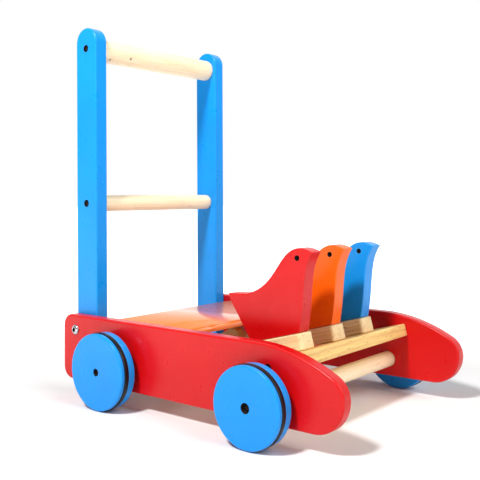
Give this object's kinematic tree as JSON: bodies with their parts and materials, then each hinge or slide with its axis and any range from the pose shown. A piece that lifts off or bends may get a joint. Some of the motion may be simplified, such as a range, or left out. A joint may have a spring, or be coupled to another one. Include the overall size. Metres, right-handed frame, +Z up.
{
  "type": "push along truck",
  "caption": "Wooden push along truck: low side panels on wheels with rubber rings, an upright handle frame, a deck and a row of birds that rock on sloping arms.",
  "frame": {"origin": "on the floor under the middle of the truck's bounding box", "axes": "+X forward to the nose of the side panels, +Y to the truck's left, +Z up"},
  "size_m": [0.429, 0.345, 0.48],
  "materials": {
    "red_paint": "satin gloss paint on wood",
    "blue_paint": "satin gloss paint on wood",
    "orange_paint": "satin gloss paint on wood",
    "natural_wood": "bare fine grained wood, lightly lacquered",
    "black_rubber": "smooth black rubber",
    "chrome_bolt": "polished",
    "black_screw": "blackened steel"
  },
  "bodies": {
    "frame": {"side_panel_right": "red_paint", "side_panel_left": "red_paint", "handle_post_right": "blue_paint", "handle_post_left": "blue_paint", "handle_grip_dowel": "natural_wood", "handle_mid_dowel": "natural_wood", "deck_board": "orange_paint", "front_plank": "natural_wood", "pivot_rod": "natural_wood", "pivot_sleeve_1": "natural_wood", "pivot_sleeve_2": "natural_wood", "pivot_sleeve_3": "natural_wood", "pivot_sleeve_4": "natural_wood", "post_bolt_right_low": "chrome_bolt", "post_bolt_right_high": "chrome_bolt", "post_bolt_left_low": "chrome_bolt", "post_bolt_left_high": "chrome_bolt", "handle_screw_right_grip": "black_screw", "handle_screw_right_mid": "black_screw", "handle_screw_left_grip": "black_screw", "handle_screw_left_mid": "black_screw", "plank_screw_right": "black_screw", "plank_screw_left": "black_screw"},
    "front_axle_set": {"front_axle": "natural_wood", "front_wheel_right": "blue_paint", "front_wheel_left": "blue_paint", "front_tyre_right": "black_rubber", "front_tyre_left": "black_rubber", "front_spacer_right": "natural_wood", "front_spacer_left": "natural_wood", "front_wheel_screw_right": "black_screw", "front_wheel_screw_left": "black_screw"},
    "rear_axle_set": {"rear_axle": "natural_wood", "rear_wheel_right": "blue_paint", "rear_wheel_left": "blue_paint", "rear_tyre_right": "black_rubber", "rear_tyre_left": "black_rubber", "rear_spacer_right": "natural_wood", "rear_spacer_left": "natural_wood", "rear_wheel_screw_right": "black_screw", "rear_wheel_screw_left": "black_screw", "cam_red": "natural_wood", "cam_orange": "natural_wood", "cam_blue": "natural_wood"},
    "red_rocker": {"rocker_arm_red": "natural_wood", "bird_red": "red_paint"},
    "orange_rocker": {"rocker_arm_orange": "natural_wood", "bird_orange": "orange_paint"},
    "blue_rocker": {"rocker_arm_blue": "natural_wood", "bird_blue": "blue_paint"}
  },
  "joints": [
    {"name": "front_axle_roll", "type": "hinge", "parent": "frame", "child": "front_axle_set", "pos_m": [0.1166, 0, 0.044], "axis": [0, 1, 0], "continuous": true},
    {"name": "rear_axle_roll", "type": "hinge", "parent": "frame", "child": "rear_axle_set", "pos_m": [-0.1142, 0, 0.047], "axis": [0, 1, 0], "continuous": true},
    {"name": "red_bird_rock", "type": "hinge", "parent": "frame", "child": "red_rocker", "pos_m": [-0.00922, -0.067, 0.06273], "axis": [0, -1, 0], "range_deg": [0, 8]},
    {"name": "orange_bird_rock", "type": "hinge", "parent": "frame", "child": "orange_rocker", "pos_m": [-0.00922, 0, 0.06273], "axis": [0, -1, 0], "range_deg": [0, 8]},
    {"name": "blue_bird_rock", "type": "hinge", "parent": "frame", "child": "blue_rocker", "pos_m": [-0.00922, 0.067, 0.06273], "axis": [0, -1, 0], "range_deg": [0, 8]}
  ]
}
